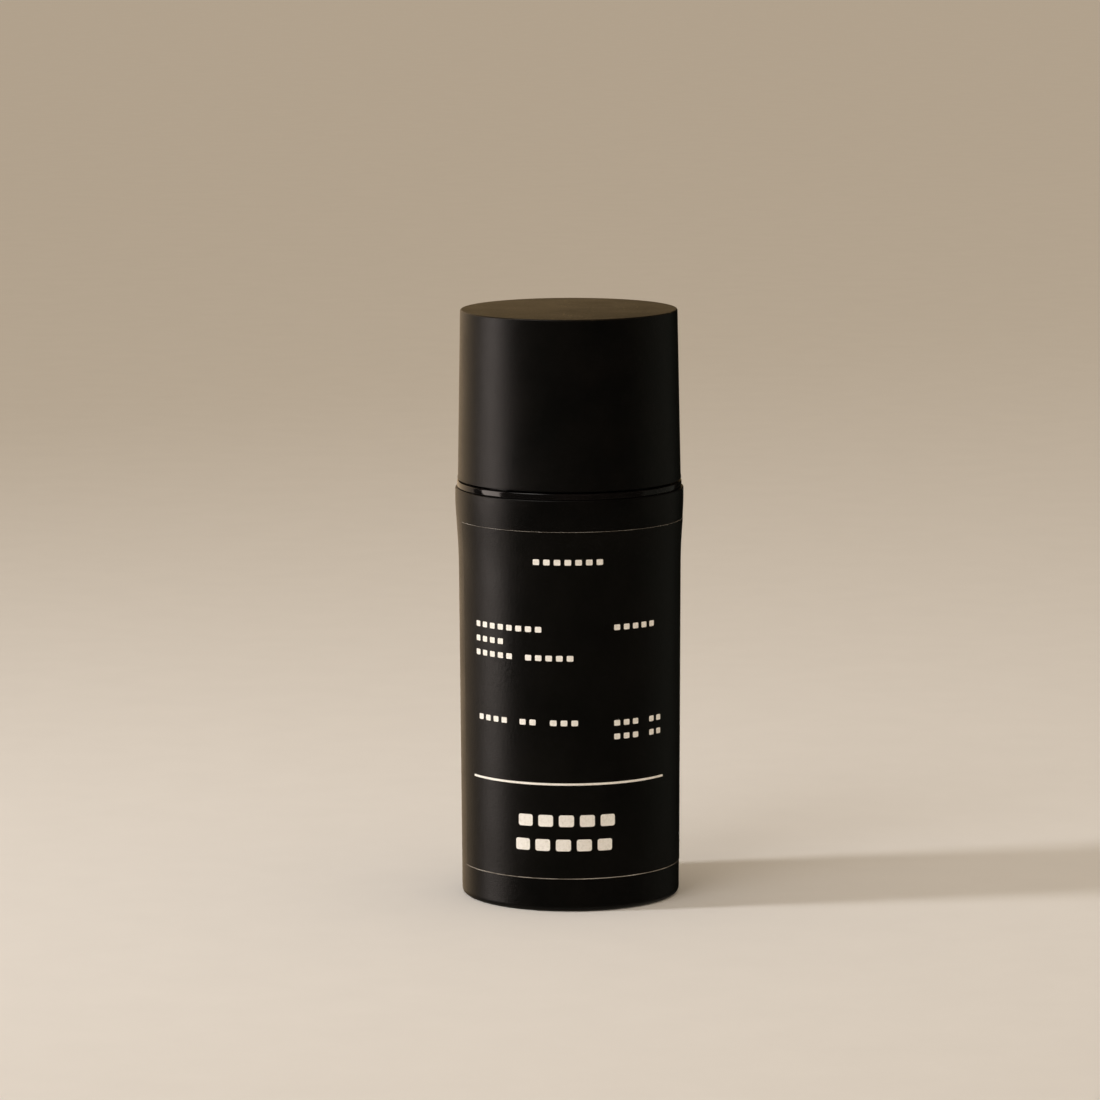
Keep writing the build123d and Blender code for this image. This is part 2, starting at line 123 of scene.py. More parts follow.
def makePiece(name, bm, body, material, standsFor=()):
    mesh = bpy.data.meshes.new(name)
    bm.to_mesh(mesh)
    bm.free()
    mesh.shade_smooth()
    mesh.set_sharp_from_angle(angle=radians(sharpAngle))
    piece = bpy.data.objects.new(name, mesh)
    bpy.context.scene.collection.objects.link(piece)
    mesh.materials.append(material)
    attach(piece, body)
    if standsFor:
        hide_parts(*standsFor)
    return piece


# finishes, all on Object coordinates
def startFinish(name):
    material = bpy.data.materials.new(name)
    material.use_nodes = True
    tree = material.node_tree
    shader = tree.nodes["Principled BSDF"]
    where = tree.nodes.new("ShaderNodeTexCoord")
    return material, tree, shader, where.outputs["Object"]


def grainNoise(tree, where, scale, detail=3.0, rough=0.55):
    noise = tree.nodes.new("ShaderNodeTexNoise")
    noise.inputs["Scale"].default_value = scale
    noise.inputs["Detail"].default_value = detail
    noise.inputs["Roughness"].default_value = rough
    tree.links.new(where, noise.inputs["Vector"])
    return noise.outputs["Fac"]


def ramp(tree, source, stops):
    node = tree.nodes.new("ShaderNodeValToRGB")
    marks = node.color_ramp.elements
    while len(marks) < len(stops):
        marks.new(0.5)
    for mark, (place, colour) in zip(marks, stops):
        mark.position = place
        mark.color = (*colour, 1)
    tree.links.new(source, node.inputs["Fac"])
    return node.outputs["Color"]


def spread(tree, source, low, high, fromLow=0.3, fromHigh=0.7):
    node = tree.nodes.new("ShaderNodeMapRange")
    node.inputs["From Min"].default_value = fromLow
    node.inputs["From Max"].default_value = fromHigh
    node.inputs["To Min"].default_value = low
    node.inputs["To Max"].default_value = high
    tree.links.new(source, node.inputs["Value"])
    return node.outputs["Result"]


def joinMath(tree, kind, first, second):
    node = tree.nodes.new("ShaderNodeMath")
    node.operation = kind
    for socket, value in zip(node.inputs, (first, second)):
        if isinstance(value, (int, float)):
            socket.default_value = value
        else:
            tree.links.new(value, socket)
    return node.outputs["Value"]


def addBump(tree, shader, height, strength, distance):
    bump = tree.nodes.new("ShaderNodeBump")
    bump.inputs["Strength"].default_value = strength
    bump.inputs["Distance"].default_value = distance
    tree.links.new(height, bump.inputs["Height"])
    tree.links.new(bump.outputs["Normal"], shader.inputs["Normal"])


def mixColour(tree, factor, first, second):
    node = tree.nodes.new("ShaderNodeMix")
    node.data_type = "RGBA"
    tree.links.new(factor, node.inputs["Factor"])
    tree.links.new(first, node.inputs["A"])
    node.inputs["B"].default_value = (*second, 1)
    return node.outputs["Result"]


# every noise and grain scale here and below is in cells per metre
capDust = {
    "depth": 0.3 * mm,  # dust lies only on faces within this of the cap's top
    "film": (0.016, 0.0115, 0.0070),
    "filmPatch": 95,
    "filmEdge": (0.25, 0.70),
    "speck": (0.62, 0.50, 0.30),
    "speckSpacing": 900,
    "speckSize": (0.11, 0.21),
    "cluster": 330,
    "clusterEdge": (0.50, 0.60),
}


def addDust(tree, where, base, above):  # specks and a thin film on faces higher than above
    look = capDust
    place = tree.nodes.new("ShaderNodeSeparateXYZ")
    tree.links.new(where, place.inputs["Vector"])
    onTop = joinMath(tree, "GREATER_THAN", place.outputs["Z"], above)
    patch = grainNoise(tree, where, look["filmPatch"], 4, 0.6)
    film = joinMath(tree, "MULTIPLY", spread(tree, patch, 0, 1, *look["filmEdge"]), onTop)
    specks = tree.nodes.new("ShaderNodeTexVoronoi")
    specks.feature = "F1"
    specks.inputs["Scale"].default_value = look["speckSpacing"]
    tree.links.new(where, specks.inputs["Vector"])
    small = spread(tree, specks.outputs["Distance"], 1, 0, *look["speckSize"])
    some = spread(tree, grainNoise(tree, where, look["cluster"], 2), 0, 1, *look["clusterEdge"])
    speck = joinMath(tree, "MULTIPLY", joinMath(tree, "MULTIPLY", small, some), film)
    dusty = mixColour(tree, film, base, look["film"])
    return mixColour(tree, speck, dusty, look["speck"])


def blend(tree, first, firstShare, second, secondShare):
    return joinMath(tree, "ADD", joinMath(tree, "MULTIPLY", first, firstShare),
                    joinMath(tree, "MULTIPLY", second, secondShare))


softTouch = {
    "shade": (0.0024, 0.0023, 0.0021),
    "shadeWorn": (0.0042, 0.0035, 0.0030),
    "cloud": 90,
    "mottle": 1150,
    "grain": 3600,
    "rough": (0.30, 0.39),
    "roughShares": (0.6, 0.4),  # of the cloud and the mottle
    "specular": 0.30,
    "reliefShares": (0.55, 0.15),  # of the grain and the mottle
    "bump": (0.6, 0.00014),
}


def softTouchFinish(name, dustAbove=None):
    look = softTouch
    material, tree, shader, where = startFinish(name)
    cloudy = grainNoise(tree, where, look["cloud"], 2)
    mottle = grainNoise(tree, where, look["mottle"], 3, 0.6)
    base = ramp(tree, cloudy, [(0.35, look["shade"]), (0.7, look["shadeWorn"])])
    if dustAbove is not None:
        base = addDust(tree, where, base, dustAbove)
    tree.links.new(base, shader.inputs["Base Color"])
    cloudShare, mottleShare = look["roughShares"]
    worn = blend(tree, cloudy, cloudShare, mottle, mottleShare)
    tree.links.new(spread(tree, worn, *look["rough"]), shader.inputs["Roughness"])
    shader.inputs["Specular IOR Level"].default_value = look["specular"]
    fine = grainNoise(tree, where, look["grain"], 4)
    fineShare, mottleShare = look["reliefShares"]
    addBump(tree, shader, blend(tree, fine, fineShare, mottle, mottleShare), *look["bump"])
    return material


glossBlack = {
    "shade": (0.003, 0.003, 0.003),
    "shadePale": (0.006, 0.005, 0.005),
    "cloud": 140,
    "grain": 900,
    "rough": (0.07, 0.13),
    "specular": 0.5,
    "ripple": 260,
    "bump": (0.06, 0.00004),
}


def glossBlackFinish(name):
    look = glossBlack
    material, tree, shader, where = startFinish(name)
    cloudy = grainNoise(tree, where, look["cloud"], 2)
    tree.links.new(ramp(tree, cloudy, [(0.3, look["shade"]), (0.7, look["shadePale"])]),
                   shader.inputs["Base Color"])
    grain = grainNoise(tree, where, look["grain"], 2)
    tree.links.new(spread(tree, grain, *look["rough"]), shader.inputs["Roughness"])
    shader.inputs["Specular IOR Level"].default_value = look["specular"]
    addBump(tree, shader, grainNoise(tree, where, look["ripple"], 2), *look["bump"])
    return material


labelFilm = {
    "shade": (0.0026, 0.0024, 0.0021),
    "shadeWarm": (0.0042, 0.0035, 0.0028),
    "cloud": 60,
    "rough": (0.36, 0.45),
    "specular": 0.34,
    "fibre": 1500,
    "bump": (0.5, 0.00010),
}


def labelFinish(name):
    look = labelFilm
    material, tree, shader, where = startFinish(name)
    fibre = grainNoise(tree, where, look["fibre"], 6, 0.65)
    cloudy = grainNoise(tree, where, look["cloud"], 3)
    tree.links.new(ramp(tree, cloudy, [(0.35, look["shade"]), (0.68, look["shadeWarm"])]),
                   shader.inputs["Base Color"])
    tree.links.new(spread(tree, cloudy, *look["rough"]), shader.inputs["Roughness"])
    shader.inputs["Specular IOR Level"].default_value = look["specular"]
    addBump(tree, shader, fibre, *look["bump"])
    return material


printInk = {
    "shade": (0.92, 0.90, 0.86),
    "shadeThin": (0.80, 0.78, 0.73),
    "patch": 1700,
    "rough": (0.5, 0.65),
    "bump": (0.08, 0.00002),
}


def inkFinish(name):
    look = printInk
    material, tree, shader, where = startFinish(name)
    patchy = grainNoise(tree, where, look["patch"], 4, 0.6)
    tree.links.new(ramp(tree, patchy, [(0.30, look["shadeThin"]), (0.55, look["shade"])]),
                   shader.inputs["Base Color"])
    tree.links.new(spread(tree, patchy, *look["rough"]), shader.inputs["Roughness"])
    addBump(tree, shader, patchy, *look["bump"])
    return material


# each: light shade, dark shade, roughness, grain, bump, how much light passes through
mouldedSet = {
    "labelCutEdge": ((0.42, 0.39, 0.35), (0.15, 0.13, 0.11), (0.30, 0.42), 1500, 0.1, 0),
    "naturalPlastic": ((0.80, 0.80, 0.76), (0.72, 0.72, 0.68), (0.35, 0.5), 1500, 0.1, 0.2),
    "stemPlastic": ((0.74, 0.74, 0.71), (0.66, 0.66, 0.64), (0.3, 0.42), 1500, 0.1, 0),
    "waxyPistonPlastic": ((0.82, 0.82, 0.79), (0.74, 0.74, 0.71), (0.4, 0.55), 1500, 0.1, 0.25),
    "gasketRubber": ((0.30, 0.30, 0.29), (0.22, 0.22, 0.21), (0.6, 0.75), 1500, 0.3, 0),
    "shavingCream": ((0.87, 0.86, 0.82), (0.80, 0.79, 0.74), (0.3, 0.5), 700, 0.3, 0.4),
}
mouldedSurface = {
    "cloud": 220,
    "finer": 1.7,  # the relief is this much finer than the grain
    "bumpDepth": 0.00004,
    "throughDepth": (0.002, 0.002, 0.0018),
}


def mouldedFinish(name):
    light, dark, rough, grain, bump, through = mouldedSet[name]
    look = mouldedSurface
    material, tree, shader, where = startFinish(name)
    cloudy = grainNoise(tree, where, look["cloud"], 3)
    tree.links.new(ramp(tree, cloudy, [(0.32, dark), (0.66, light)]), shader.inputs["Base Color"])
    grainy = grainNoise(tree, where, grain, 3)
    tree.links.new(spread(tree, grainy, *rough), shader.inputs["Roughness"])
    relief = grainNoise(tree, where, grain * look["finer"], 3)
    addBump(tree, shader, relief, bump, look["bumpDepth"])
    if through:
        shader.inputs["Subsurface Weight"].default_value = through
        shader.inputs["Subsurface Radius"].default_value = look["throughDepth"]
    return material


springWire = {
    "shade": (0.66, 0.66, 0.65),
    "shadeDark": (0.46, 0.46, 0.45),
    "drawn": 1600,
    "rough": (0.2, 0.34),
    "bump": (0.12, 0.00003),
}


def wireFinish(name):
    look = springWire
    material, tree, shader, where = startFinish(name)
    shader.inputs["Metallic"].default_value = 1.0
    drawn = grainNoise(tree, where, look["drawn"], 3)
    tree.links.new(ramp(tree, drawn, [(0.3, look["shadeDark"]), (0.7, look["shade"])]),
                   shader.inputs["Base Color"])
    tree.links.new(spread(tree, drawn, *look["rough"]), shader.inputs["Roughness"])
    addBump(tree, shader, drawn, *look["bump"])
    return material


ballGlass = {
    "shade": (0.93, 0.95, 0.94),
    "shadeDark": (0.86, 0.9, 0.89),
    "cloud": 900,
    "polish": 1400,
    "rough": (0.02, 0.06),
    "bend": 1.5,
}


def clearGlassFinish(name):
    look = ballGlass
    material, tree, shader, where = startFinish(name)
    cloudy = grainNoise(tree, where, look["cloud"], 2)
    tree.links.new(ramp(tree, cloudy, [(0.3, look["shadeDark"]), (0.7, look["shade"])]),
                   shader.inputs["Base Color"])
    polish = grainNoise(tree, where, look["polish"], 2)
    tree.links.new(spread(tree, polish, *look["rough"]), shader.inputs["Roughness"])
    shader.inputs["Transmission Weight"].default_value = 1.0
    shader.inputs["IOR"].default_value = look["bend"]
    return material


capFinish = softTouchFinish("capSoftTouch", dustAbove=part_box("overcap")[1].z - capDust["depth"])
bottleFinish = softTouchFinish("bottleSoftTouch")
collarFinish = glossBlackFinish("collarGloss")
filmFinish = labelFinish("labelFilm")
cutEdgeFinish = mouldedFinish("labelCutEdge")
printFinish = inkFinish("printInk")
naturalFinish = mouldedFinish("naturalPlastic")
stemFinish = mouldedFinish("stemPlastic")
pistonFinish = mouldedFinish("waxyPistonPlastic")
gasketFinish = mouldedFinish("gasketRubber")
creamFinish = mouldedFinish("shavingCream")
springFinish = wireFinish("springWire")
ballFinish = clearGlassFinish("ballGlass")
print("finishes made")


bottleSize = {  # sizes of every piece are in millimetres
    "foot": 25.0,
    "footRound": 1.2,
    "footMargin": 0.3,  # the wall's first ring stands this far above the rounding
    "draft": 0.0051,
    "flareStart": 74.0,
    "flareEnd": 92.1,
    "flareBend": 1.5,  # above 1 the shoulder swells later
    "plainRings": 6,
    "flareRings": 14,
    "bore": 23.6,
    "mouth": 24.9,
    "mouthFloor": 84.0,
    "footInner": 22.6,
    "ledge": 2.0,
    "rimRound": 0.3,
}
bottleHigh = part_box("bottle_body")[1]
rimRadius = bottleHigh.x / mm
bottleTop = bottleHigh.z / mm


def bodyRadius(height):  # outer radius of the bottle
    size = bottleSize
    plain = size["foot"] + size["draft"] * (height - size["footRound"])
    share = (height - size["flareStart"]) / (size["flareEnd"] - size["flareStart"])
    share = min(max(share, 0), 1) ** size["flareBend"]
    swell = share * share * (3 - 2 * share)
    return plain + (rimRadius - plain) * swell


def evenHeights(low, high, count):
    return [low + (high - low) * i / count for i in range(count + 1)]


def makeBottle():
    size = bottleSize
    wallFoot = size["footRound"] + size["footMargin"]
    heights = evenHeights(wallFoot, size["flareStart"], size["plainRings"])
    heights += evenHeights(size["flareStart"], size["flareEnd"], size["flareRings"])[1:]
    outline = [(size["footInner"], 0), (size["foot"], 0)]
    outline += [(bodyRadius(h), h) for h in heights]
    outline += [
        (rimRadius, bottleTop), (size["mouth"], bottleTop), (size["mouth"], size["mouthFloor"]),
        (size["bore"], size["mouthFloor"]), (size["bore"], size["ledge"]),
        (size["footInner"], size["ledge"]),
    ]
    bm = bmesh.new()
    turnOutline(bm, outline)
    roundRing(bm, size["foot"], 0, size["footRound"], 8)
    roundRing(bm, rimRadius, bottleTop, size["rimRound"], 4)
    roundRing(bm, size["mouth"], bottleTop, size["rimRound"], 3)
    return makePiece("bottleShell", bm, "bottle", bottleFinish, ["bottle_body"])


makeBottle()


labelSize = {
    "gap": 0.01,
    "thick": 0.08,
    "start": -161.0,
    "sweep": 334.0,
    "steps": 232,
    "plainRings": 4,
    "flareRings": 10,
    "edgeRound": 0.025,
    "paleFootMarginAndHighlight": 0.18,  # the film's clear margin shows as a pale line, widened at the foot as a painted highlight
    # the top margin is the film's pale margin too, kept narrow as painted shade so its line shows
    # fainter
    "paleTop": 0.045,
    "facing": 0.9,  # faces turned further from straight outwards than this are cut edges
}
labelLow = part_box("label")[0].z / mm
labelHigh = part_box("label")[1].z / mm


def makeLabel():
    size = labelSize
    lowBand, highBand = labelLow + size["paleFootMarginAndHighlight"], labelHigh - size["paleTop"]
    heights = [labelLow] + evenHeights(lowBand, bottleSize["flareStart"], size["plainRings"])[:-1]
    heights += evenHeights(bottleSize["flareStart"], highBand, size["flareRings"]) + [labelHigh]
    inner = [(bodyRadius(h) + size["gap"], h) for h in heights]
    outer = [(r + size["thick"], h) for r, h in reversed(inner)]
    bm = bmesh.new()
    turnOutline(bm, inner + outer, radians(size["start"]), radians(size["sweep"]), size["steps"])
    for radius, height in (outer[0], outer[-1]):
        roundRing(bm, radius, height, size["edgeRound"], 2)
    for face in bm.faces:  # the margin and the cut edges are paler than the printed face; the foot margin's extra width is a painted highlight and the narrow top margin painted shade
        normal, middle = face.normal, face.calc_center_median()
        outward = Vector((middle.x, middle.y, 0)).normalized()
        inBand = not lowBand * mm < middle.z < highBand * mm
        face.material_index = 1 if inBand or abs(normal.dot(outward)) < size["facing"] else 0
    label = makePiece("labelWrap", bm, "bottle", filmFinish, ["label"])
    label.data.materials.append(cutEdgeFinish)
    return label


makeLabel()
print("bottle and label made")


printSize = {
    "proud": 0.02,
    "smallHeight": 1.3,
    "smallPitch": 2.42,
    "smallFill": 0.62,
    "titleHeight": 2.7,
    "titlePitch": 4.75,
    "titleFill": 0.72,
    "cornerShare": 0.18,
    "blockCuts": 4,
    "rule": (-26.4, 24.7, 29.5),  # left and right ends along the curve, height
    "ruleThick": 0.5,
    "ruleCuts": 60,
    "ruleCorner": 0.2,
    # start along the curve, height of the foot of the row, blocks in each word
    "smallRows": [
        (-8.5, 79.6, (7,)),
        (-25.0, 64.2, (8,)),
        (-25.0, 60.9, (4,)),
        (-25.0, 57.7, (5, 5)),
        (10.15, 64.5, (5,)),
        (-24.0, 42.9, (4, 2, 3)),
        (10.1, 42.6, (3, 2)),
        (10.1, 39.5, (3, 2)),
    ],
    "titleRows": [(-12.2, 19.7, (5,)), (-12.9, 14.1, (5,))],
}


def addBlock(bm, left, foot, wide, tall, cuts, corner):
    made = bmesh.ops.create_grid(bm, x_segments=cuts, y_segments=1, size=0.5)["verts"]
    bmesh.ops.scale(bm, verts=made, vec=(wide, tall, 1))
    bmesh.ops.translate(bm, verts=made, vec=(left + wide / 2, foot + tall / 2, 0))
    corners = [v for v in made if len(v.link_edges) == 2]
    bmesh.ops.bevel(
        bm, geom=corners, offset=corner, offset_type="OFFSET", segments=3,
        profile=0.5, affect="VERTICES", material=-1, clamp_overlap=True,
    )


def wrapOnLabel(bm, lift):  # x along the curve and y up become places on the label's face
    for v in bm.verts:
        around, height = v.co.x, v.co.y
        radius = bodyRadius(height) + labelSize["gap"] + labelSize["thick"] + lift
        angle = around / bodyRadius(height)
        v.co = Vector((radius * sin(angle), -radius * cos(angle), height)) * mm


def makePrint():
    size = printSize
    bm = bmesh.new()
    for rows, tall, pitch, fill in (
        (size["smallRows"], size["smallHeight"], size["smallPitch"], size["smallFill"]),
        (size["titleRows"], size["titleHeight"], size["titlePitch"], size["titleFill"]),
    ):
        for start, foot, words in rows:
            left = start
            for blocks in words:
                for _ in range(blocks):
                    corner = tall * size["cornerShare"]
                    addBlock(bm, left, foot, pitch * fill, tall, size["blockCuts"], corner)
                    left += pitch
                left += pitch
    ruleLeft, ruleRight, ruleHeight = size["rule"]
    thick = size["ruleThick"]
    addBlock(bm, ruleLeft, ruleHeight - thick / 2, ruleRight - ruleLeft, thick,
             size["ruleCuts"], size["ruleCorner"])
    wrapOnLabel(bm, size["proud"])
    bmesh.ops.recalc_face_normals(bm, faces=bm.faces)
    middles = [(face.normal, face.calc_center_median()) for face in bm.faces]
    if sum(normal.dot(Vector((middle.x, middle.y, 0))) for normal, middle in middles) < 0:
        bmesh.ops.reverse_faces(bm, faces=bm.faces)
    return makePiece("frontPrint", bm, "bottle", printFinish)


makePrint()
print("print made")


collarSize = {
    "flangeTall": 1.5,
    "edgeRound": 0.3,
    "seat": 23.5,
    "seatWall": 1.4,
    "seatRound": 0.5,
    "deckThick": 1.2,
    "plug": 24.85,
    "plugInner": 23.6,
    "guide": 15.4,
    "guideWall": 1.2,
    "guideFoot": 2.7,  # above the bottle's rim
}


def makeCollar():
    size = collarSize
    low, high = (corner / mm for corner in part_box("collar"))
    ring, deck, plugFoot = high.x, high.z, low.z
    flange = bottleTop + size["flangeTall"]
    seat, plug, plugInner = size["seat"], size["plug"], size["plugInner"]
    seatInner, underDeck = seat - size["seatWall"], deck - size["deckThick"]
    guide, guideFoot = size["guide"], bottleTop + size["guideFoot"]
    guideOuter = guide + size["guideWall"]
    outline = [
        (seatInner, bottleTop), (plugInner, bottleTop), (plugInner, plugFoot), (plug, plugFoot),
        (plug, bottleTop), (ring, bottleTop), (ring, flange), (seat, flange), (seat, deck),
        (guide, deck), (guide, guideFoot), (guideOuter, guideFoot), (guideOuter, underDeck),
        (seatInner, underDeck),
    ]
    bm = bmesh.new()
    turnOutline(bm, outline)
    for radius, height, rounding in (
        (ring, bottleTop, size["edgeRound"]), (ring, flange, size["edgeRound"]),
        (seat, deck, size["seatRound"]), (guide, deck, size["edgeRound"]),
        (plug, plugFoot, size["edgeRound"]),
    ):
        roundRing(bm, radius, height, rounding)
    return makePiece("collarRing", bm, "bottle", collarFinish, ["collar"])


makeCollar()


capSize = {
    "wall": 1.5,
    "draft": 0.0182,
    "topRound": 0.4,
    "innerRound": 0.5,
    "lip": 0.1,
    "lipHeights": (0.1, 0.5, 0.7),  # above the cap's foot
    "ribs": 8,
    "ribInner": 22.3,
    "ribThick": 1.2,
    "ribFoot": 104.05,
    "ribIntoWall": 0.6,  # inwards from the outside at the top
    "ribIntoTop": 0.5,
    "ribTurn": 22.5,
}


def makeCap():
    size = capSize
    low, high = (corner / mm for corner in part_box("overcap"))
    foot, top = low.z, high.z
    wall, lipRadius = size["wall"], high.x
    wallRadius = lipRadius - size["lip"]
    topRadius = wallRadius - size["draft"] * (top - foot)
    lipFoot, lipShoulder, lipTop = (foot + height for height in size["lipHeights"])
    outline = [
        (0, top), (topRadius, top), (wallRadius, lipTop), (lipRadius, lipShoulder),
        (lipRadius, lipFoot), (wallRadius, foot), (wallRadius - wall, foot),
        (topRadius - wall, top - wall), (0, top - wall),
    ]
    bm = bmesh.new()
    turnOutline(bm, outline, closed=False)
    roundRing(bm, topRadius, top, size["topRound"], 6)
    roundRing(bm, topRadius - wall, top - wall, size["innerRound"], 4)
    ribOuter, ribInner = topRadius - size["ribIntoWall"], size["ribInner"]
    ribTall = top - wall + size["ribIntoTop"] - size["ribFoot"]
    ribSize = Vector((ribOuter - ribInner, size["ribThick"], ribTall)) * mm
    ribMiddle = Vector(((ribOuter + ribInner) / 2, 0, size["ribFoot"] + ribTall / 2)) * mm
    for i in range(size["ribs"]):
        rib = bmesh.ops.create_cube(bm, size=1)["verts"]
        bmesh.ops.scale(bm, verts=rib, vec=ribSize)
        bmesh.ops.translate(bm, verts=rib, vec=ribMiddle)
        turn = Matrix.Rotation(radians(size["ribTurn"]) + 2 * pi * i / size["ribs"], 3, "Z")
        bmesh.ops.rotate(bm, verts=rib, cent=(0, 0, 0), matrix=turn)
    return makePiece("capShell", bm, "cap", capFinish, ["overcap"])


makeCap()
print("collar and cap made")


springSize = {
    "wire": 0.9,
    "wireSides": 12,
    "coil": 5.6,
    "longest": 15.3,
    "openTurns": 5,
    "closedGap": 0.05,  # between the end turns
    "stepsPerTurn": 36,
}


def makeSpring():
    size = springSize
    wire = size["wire"]
    foot, top = (corner.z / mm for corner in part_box("return_spring"))
    top = min(top, foot + size["longest"])
    closedRise = wire + size["closedGap"]
    openRise = (top - foot - wire - 2 * closedRise) / size["openTurns"]
    bm = bmesh.new()
    bmesh.ops.create_circle(bm, cap_ends=False, segments=size["wireSides"], radius=wire / 2 * mm)
    upright = Matrix.Rotation(pi / 2, 3, "X")
    bmesh.ops.rotate(bm, verts=bm.verts, cent=(0, 0, 0), matrix=upright)
    start = Vector((size["coil"], 0, foot + wire / 2)) * mm
    bmesh.ops.translate(bm, verts=bm.verts, vec=start)
    section = list(bm.verts) + list(bm.edges)
    for turns, rise in ((1, closedRise), (size["openTurns"], openRise), (1, closedRise)):
        steps = turns * size["stepsPerTurn"]
        climb = (0, 0, rise * turns / steps * mm)
        made = bmesh.ops.spin(
            bm, geom=section, cent=(0, 0, 0), axis=(0, 0, 1), dvec=climb,
            angle=2 * pi * turns, steps=steps, use_merge=False, use_duplicate=False,
        )
        section = made["geom_last"]
    bmesh.ops.holes_fill(bm, edges=[e for e in bm.edges if e.is_boundary], sides=0)
    tidyMesh(bm)
    spring = makePiece("springCoil", bm, "bottle", springFinish, ["return_spring"])
    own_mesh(spring)
    return spring


makeSpring()


creamSize = {"ringInner": 9.1, "coreInner": 0, "edgeRound": 0.4, "steps": 96}


def makeCream(name, nodeName, innerRadius):
    size = creamSize
    low, high = (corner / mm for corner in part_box(nodeName))
    outline = [(innerRadius, low.z), (high.x, low.z), (high.x, high.z), (innerRadius, high.z)]
    bm = bmesh.new()
    turnOutline(bm, outline, steps=size["steps"], closed=innerRadius > 0)
    roundRing(bm, high.x, low.z, size["edgeRound"], 3)
    roundRing(bm, high.x, high.z, size["edgeRound"], 3)
    cream = makePiece(name, bm, "bottle", creamFinish, [nodeName])
    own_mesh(cream)
    return cream


makeCream("creamRing", "cream_ring", creamSize["ringInner"])
makeCream("creamCore", "cream_core", creamSize["coreInner"])
print("spring and cream made")


# pieces kept from the frame get their finishes here
frameFinishes = {
    "actuator": softTouchFinish("actuatorSatin"),
    "nozzle_insert": glossBlackFinish("nozzleGloss"),
    "base_plate": softTouchFinish("baseMatte"),
    "pump_plate": naturalFinish,
    "pump_housing": naturalFinish,
    "chamber_cap": naturalFinish,
    "ball_retainer": naturalFinish,
    "mouth_gasket": gasketFinish,
    "stem_wiper": gasketFinish,
    "stem": stemFinish,
    "stem_pin": stemFinish,
    "dosing_piston": pistonFinish,
    "follower_piston": pistonFinish,
    "inlet_ball": ballFinish,
}
for nodeName, finish in frameFinishes.items():
    for socket in nodes[nodeName].material_slots:
        socket.material = finish
print("frame pieces finished")


stageSize = {  # the stage is in metres
    "reach": 14.0,
    "floorSides": 96,
    "floorShade": (0.745, 0.73, 0.72),
    "floorVaries": 0.01,
    "floorPatch": 60,
    "wallShade": (0.440, 0.357, 0.264),
    "aimHeight": 0.07,
    "poolSpread": 64,
}


def makeFloor():
    size = stageSize
    bm = bmesh.new()
    bmesh.ops.create_circle(bm, cap_ends=True, segments=size["floorSides"], radius=size["reach"])
    mesh = bpy.data.meshes.new("paleFloor")
    bm.to_mesh(mesh)
    bm.free()
    floor = bpy.data.objects.new("paleFloor", mesh)
    bpy.context.scene.collection.objects.link(floor)
    material, tree, shader, where = startFinish("paleFloor")
    shade, varies = Vector(size["floorShade"]), size["floorVaries"]
    patchy = grainNoise(tree, where, size["floorPatch"], 4)
    tree.links.new(ramp(tree, patchy, [(0.3, shade * (1 - varies)), (0.7, shade * (1 + varies))]),
                   shader.inputs["Base Color"])
    shader.inputs["Roughness"].default_value = 1.0
    shader.inputs["Specular IOR Level"].default_value = 0.0
    mesh.materials.append(material)
    floor.visible_glossy = False  # the black pieces reflect the cards and the room instead


# each light: bearing from the front (left is negative), rise, distance, width, height, power,
# colour, kind; one that "lights" is narrowed to a soft pool round the object, and one that
# "shines" only shows in the gloss
lightSet = {
    "keyWindow": (-80, 27, 1.5, 0.18, 0.18, 1.45, (1.0, 0.98, 0.96), "lights"),
    "frontLift": (-35, 40, 1.6, 0.9, 0.9, 0.9, (1.0, 0.98, 0.96), "lights"),
    "leftBackdrop": (-143, 6, 1.4, 1.5, 1.2, 2.5, (1.0, 0.80, 0.62), "shines"),
    "leftCard": (-88, 6, 1.4, 0.62, 1.2, 7.6, (1.0, 0.87, 0.80), "shines"),
    "rightCard": (108, 6, 1.4, 1.5, 1.2, 0.5, (1.0, 1.0, 0.82), "shines"),
    "overhead": (-70, 62, 1.3, 0.5, 0.5, 3.0, (1.0, 0.95, 0.9), "shines"),
}
roomSet = {
    "ambient": (0.82, 0.68, 0.51),
    "ambientStrength": 0.72,
    "dark": (0.002, 0.003, 0.002),
    "glow": (0.46, 0.31, 0.15),
    "glowFrom": (-0.40, 0.91, 0.12),  # direction of the lit backdrop
    "glowEdge": (0.78, 0.97),
    "bounce": (0.17, 0.15, 0.12),  # the floor as the black pieces mirror it, seen steeply
    "bounceSlope": (-0.30, -0.60),
}


def addLight(name, bearing, rise, distance, wide, tall, power, colour, kind):
    light = bpy.data.lights.new(name, "AREA")
    light.shape = "RECTANGLE"
    light.size, light.size_y = wide, tall
    light.energy = power
    light.color = colour
    if kind == "lights":
        light.spread = radians(stageSize["poolSpread"])
    panel = bpy.data.objects.new(name, light)
    bpy.context.scene.collection.objects.link(panel)
    turn, lift = radians(bearing), radians(rise)
    out = Vector((sin(turn) * cos(lift), -cos(turn) * cos(lift), sin(lift)))
    panel.location = Vector((0, 0, stageSize["aimHeight"])) + out * distance
    panel.rotation_mode = "QUATERNION"
    panel.rotation_quaternion = (-out).to_track_quat("-Z", "Y")
    panel.visible_camera = False
    panel.visible_glossy = kind == "shines"
    panel.visible_diffuse = kind == "lights"
    panel.visible_transmission = kind == "shines"


def background(tree, colour, strength=1.0):
    node = tree.nodes.new("ShaderNodeBackground")
    node.inputs["Color"].default_value = (*colour, 1)
    node.inputs["Strength"].default_value = strength
    return node.outputs["Background"]


def pickShader(tree, factor, first, second):
    node = tree.nodes.new("ShaderNodeMixShader")
    for socket, source in zip(node.inputs, (factor, first, second)):
        tree.links.new(source, socket)
    return node.outputs["Shader"]


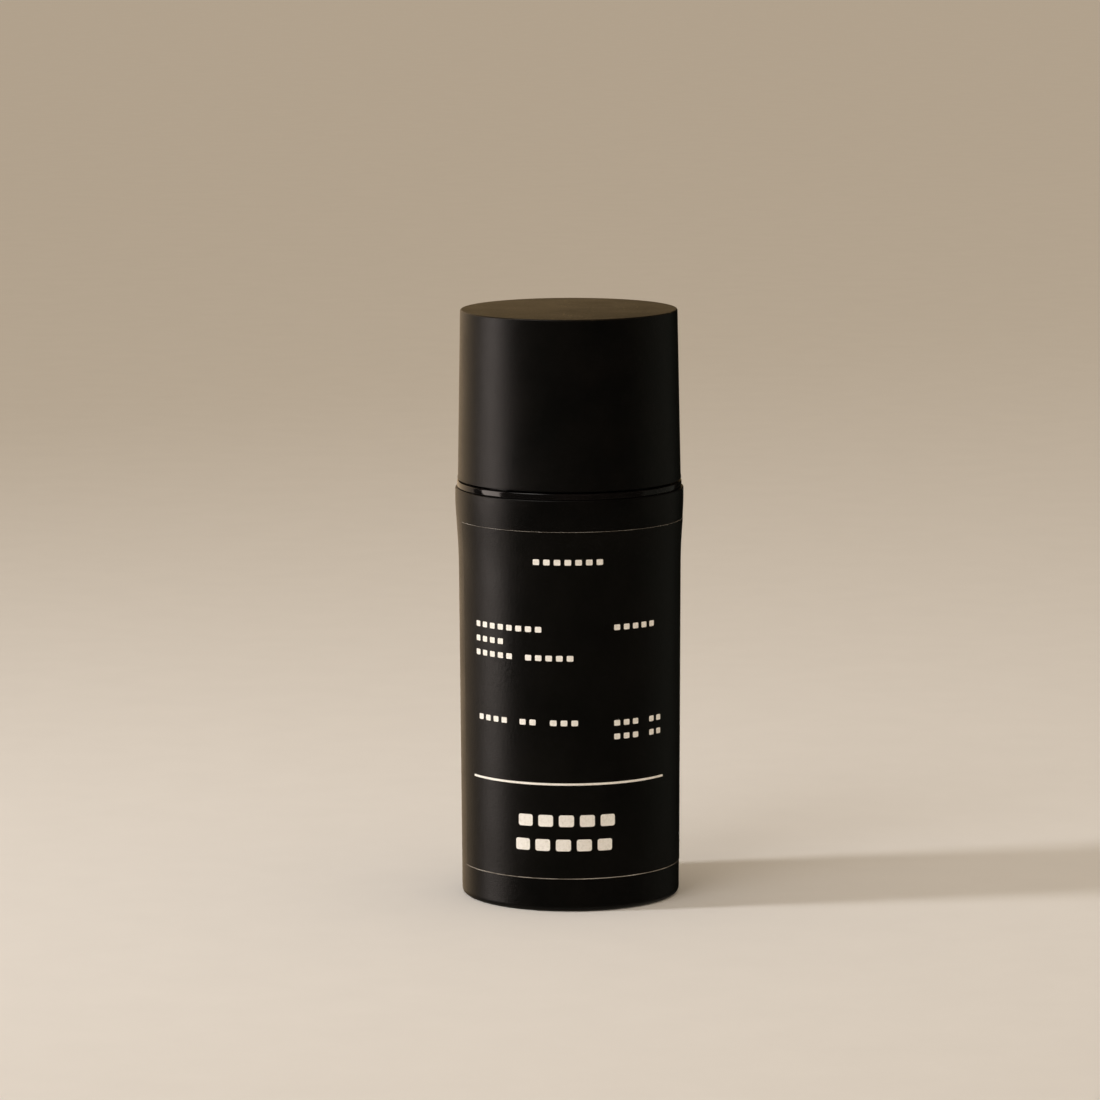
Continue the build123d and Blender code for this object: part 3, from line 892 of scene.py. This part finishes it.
def makeRoom():
    room = roomSet
    world = bpy.data.worlds.new("studio")
    world.use_nodes = True
    bpy.context.scene.world = world
    tree = world.node_tree
    tree.nodes.clear()
    out = tree.nodes.new("ShaderNodeOutputWorld")
    path = tree.nodes.new("ShaderNodeLightPath")
    heading = tree.nodes.new("ShaderNodeTexCoord")
    facing = tree.nodes.new("ShaderNodeVectorMath")
    facing.operation = "DOT_PRODUCT"
    tree.links.new(heading.outputs["Generated"], facing.inputs[0])
    facing.inputs[1].default_value = Vector(room["glowFrom"]).normalized()
    glow = spread(tree, facing.outputs["Value"], 0, 1, *room["glowEdge"])
    slope = tree.nodes.new("ShaderNodeSeparateXYZ")
    tree.links.new(heading.outputs["Generated"], slope.inputs["Vector"])
    bounce = spread(tree, slope.outputs["Z"], 1, 0, *reversed(room["bounceSlope"]))
    shining = pickShader(tree, glow, background(tree, room["dark"]), background(tree, room["glow"]))
    shining = pickShader(tree, bounce, shining, background(tree, room["bounce"]))
    ambient = background(tree, room["ambient"], room["ambientStrength"])
    lit = pickShader(tree, path.outputs["Is Glossy Ray"], ambient, shining)
    seen = background(tree, stageSize["wallShade"])
    shown = pickShader(tree, path.outputs["Is Camera Ray"], lit, seen)
    tree.links.new(shown, out.inputs["Surface"])


cameraSetting = {
    "place": (-4.48, -1279.0, 266.7),
    "down": 8.33,
    "roll": -0.218,
    "lens": 184.55,
    "sensor": 36,
    "clip": (0.05, 50),
}


def makeCamera():
    setting = cameraSetting
    camera = bpy.data.cameras.new("camera")
    camera.sensor_width = setting["sensor"]
    camera.lens = setting["lens"]
    camera.clip_start, camera.clip_end = setting["clip"]
    holder = bpy.data.objects.new("camera", camera)
    bpy.context.scene.collection.objects.link(holder)
    tilt = Matrix.Rotation(radians(90 - setting["down"]), 4, "X")
    roll = Matrix.Rotation(radians(setting["roll"]), 4, "Z")
    holder.matrix_world = Matrix.Translation(Vector(setting["place"]) * mm) @ tilt @ roll
    bpy.context.scene.camera = holder


makeFloor()
for lightName, setting in lightSet.items():
    addLight(lightName, *setting)
makeRoom()
makeCamera()
bpy.context.scene.view_settings.view_transform = "Standard"
print("stage, light and camera set")
